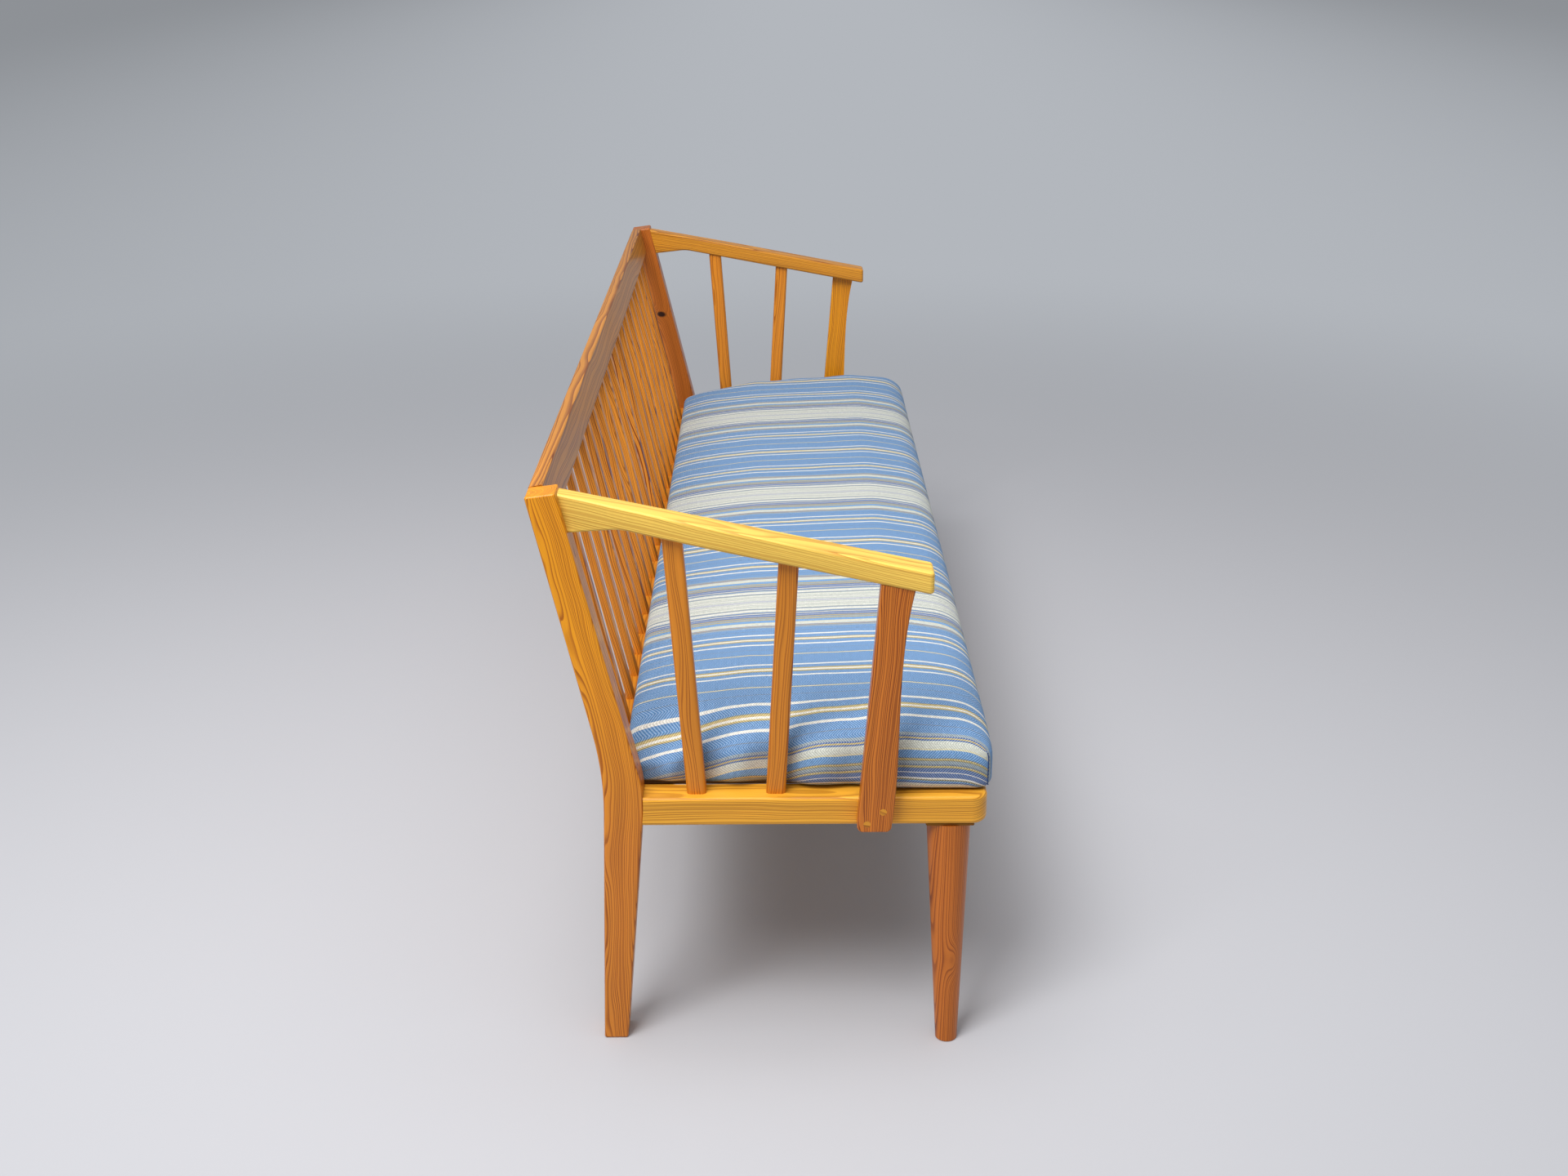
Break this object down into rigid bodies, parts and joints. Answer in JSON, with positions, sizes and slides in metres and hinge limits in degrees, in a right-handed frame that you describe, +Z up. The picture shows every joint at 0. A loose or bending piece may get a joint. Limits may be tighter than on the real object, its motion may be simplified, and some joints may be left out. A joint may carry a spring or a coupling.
{
  "type": "pull-out bench bed",
  "caption": "Open-armed pine bench with a leaning slatted back and a striped cushion; its front legs and interleaved seat slats slide forwards and widen the seat into a bed.",
  "frame": {"origin": "on the floor, under the middle of the overall length and depth", "axes": "X along the bench, the sitting side faces -Y, +Z up"},
  "size_m": [1.9492, 0.6055, 0.8007],
  "materials": {
    "lacquered_pine": "honey-coloured clear lacquer, glossy",
    "seat_pine": "planed pine, thin clear lacquer",
    "plug_pine": "end grain, clear lacquer",
    "screw_steel": "zinc plated, dull",
    "plate_steel": "rolled steel, lacquered",
    "striped_fabric": "woven herringbone stripes in blues, cream, sage and ochre",
    "cushion_filling": "soft filling inside the cover"
  },
  "bodies": {
    "bench": {"rear_post_left": "lacquered_pine", "rear_post_right": "lacquered_pine", "crest_rail": "lacquered_pine", "back_slat_01": "lacquered_pine", "back_slat_02": "lacquered_pine", "back_slat_03": "lacquered_pine", "back_slat_04": "lacquered_pine", "back_slat_05": "lacquered_pine", "back_slat_06": "lacquered_pine", "back_slat_07": "lacquered_pine", "back_slat_08": "lacquered_pine", "back_slat_09": "lacquered_pine", "back_slat_10": "lacquered_pine", "back_slat_11": "lacquered_pine", "back_slat_12": "lacquered_pine", "back_slat_13": "lacquered_pine", "back_slat_14": "lacquered_pine", "back_slat_15": "lacquered_pine", "back_slat_16": "lacquered_pine", "back_slat_17": "lacquered_pine", "back_slat_18": "lacquered_pine", "back_slat_19": "lacquered_pine", "back_slat_20": "lacquered_pine", "back_slat_21": "lacquered_pine", "rear_seat_rail": "lacquered_pine", "slat_ledger": "seat_pine", "end_rail_left": "lacquered_pine", "end_rail_right": "lacquered_pine", "arm_left": "lacquered_pine", "arm_right": "lacquered_pine", "rear_spindle_left": "lacquered_pine", "rear_spindle_right": "lacquered_pine", "front_spindle_left": "lacquered_pine", "front_spindle_right": "lacquered_pine", "arm_post_left": "lacquered_pine", "arm_post_right": "lacquered_pine", "arm_post_screws": "screw_steel", "arm_post_plugs": "plug_pine", "seat_bearer": "seat_pine", "fixed_seat_slats": "seat_pine", "fixed_slat_screws": "screw_steel"},
    "pull_out_frame": {"front_rail": "lacquered_pine", "runner_left": "seat_pine", "runner_right": "seat_pine", "rear_tie": "seat_pine", "sliding_seat_slats": "seat_pine", "sliding_slat_screws": "screw_steel", "corner_block_left": "seat_pine", "corner_block_right": "seat_pine", "leg_plate_left": "plate_steel", "leg_plate_right": "plate_steel", "leg_screws": "screw_steel", "front_leg_left": "lacquered_pine", "front_leg_right": "lacquered_pine"},
    "cushion": {"cushion_cover": "striped_fabric", "cushion_core": "cushion_filling"}
  },
  "joints": [
    {"name": "pull_out", "type": "slide", "parent": "bench", "child": "pull_out_frame", "axis": [0, -1, 0], "range_m": [0, 0.3]},
    {"name": "cushion_lift", "type": "slide", "parent": "bench", "child": "cushion", "axis": [0, 0, 1], "range_m": [0, 0.12]}
  ]
}
